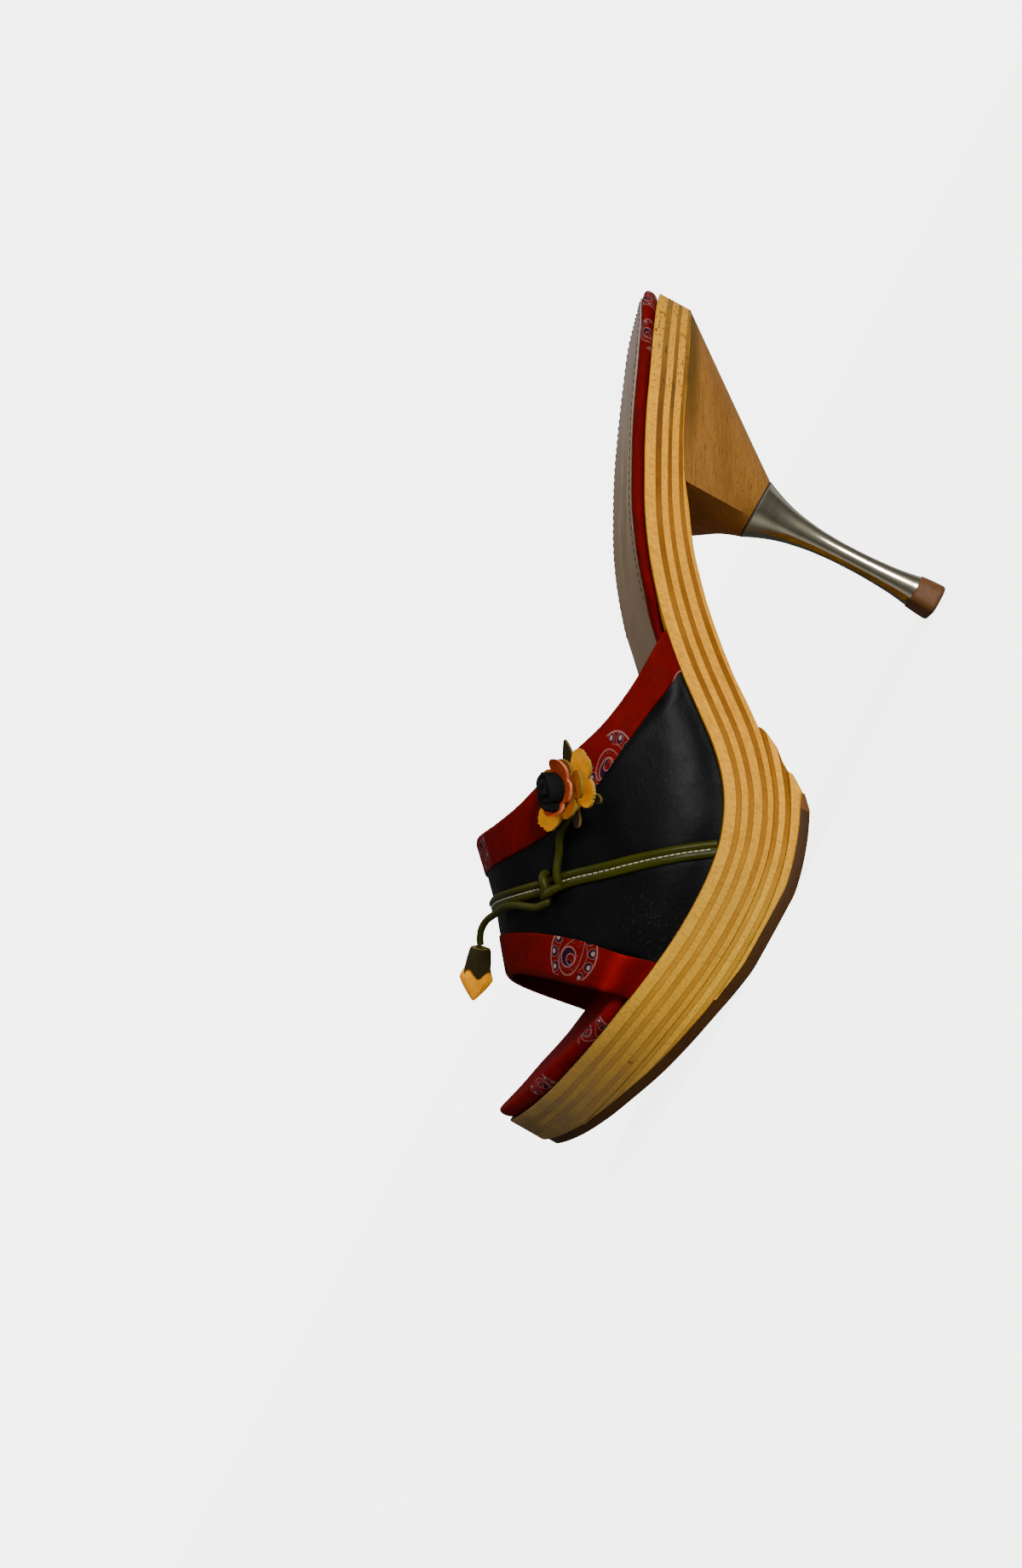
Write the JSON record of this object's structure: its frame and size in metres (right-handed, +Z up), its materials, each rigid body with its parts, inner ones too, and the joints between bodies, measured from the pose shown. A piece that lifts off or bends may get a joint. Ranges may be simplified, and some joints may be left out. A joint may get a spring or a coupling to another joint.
{
  "type": "high-heeled wooden clog mule",
  "caption": "Left open-toe mule: dark leather vamp with red fabric bands on a bent plywood platform, wood and steel stiletto heel, leather flower and bud.",
  "frame": {"origin": "middle of the shoe's outline on the floor it stands on", "axes": "+Z up, -Y towards the toe, +X towards the outer side of the left foot"},
  "size_m": [0.103, 0.221, 0.111],
  "materials": {
    "light_wood": "clear satin lacquer over bent beech plies, dark glue lines at the edge",
    "heel_wood": "clear satin lacquer, a little darker than the plies",
    "brown_rubber": "dark brown, smooth, worn satin",
    "tan_rubber": "tan heel tip, satin",
    "polished_steel": "turned and polished, bright streaks",
    "red_printed_fabric": "dark red satin cotton with a plain bandana print",
    "dark_leather": "near-black smooth leather, soft sheen",
    "green_leather": "olive green leather, pale stitches",
    "yellow_leather": "yellow suede-like leather",
    "orange_leather": "orange leather with pale cut edges",
    "black_leather": "black rolled leather",
    "olive_leather": "dark olive leather"
  },
  "bodies": {
    "root": {"sole_shell": "light_wood", "platform_pad": "light_wood", "platform_ply": "light_wood", "outsole": "brown_rubber", "heel_block": "heel_wood", "heel_stem": "polished_steel", "heel_tip": "tan_rubber", "insole": "red_printed_fabric", "upper": "dark_leather", "strap": "green_leather", "strap_knot": "green_leather", "flower_stem": "green_leather", "flower_sepals": "olive_leather", "flower_petals_outer": "yellow_leather", "flower_petals_middle": "orange_leather", "flower_petals_inner": "orange_leather", "flower_knot": "black_leather", "bud_cord": "green_leather", "bud_calyx": "olive_leather", "bud_petals": "yellow_leather"}
  },
  "joints": []
}
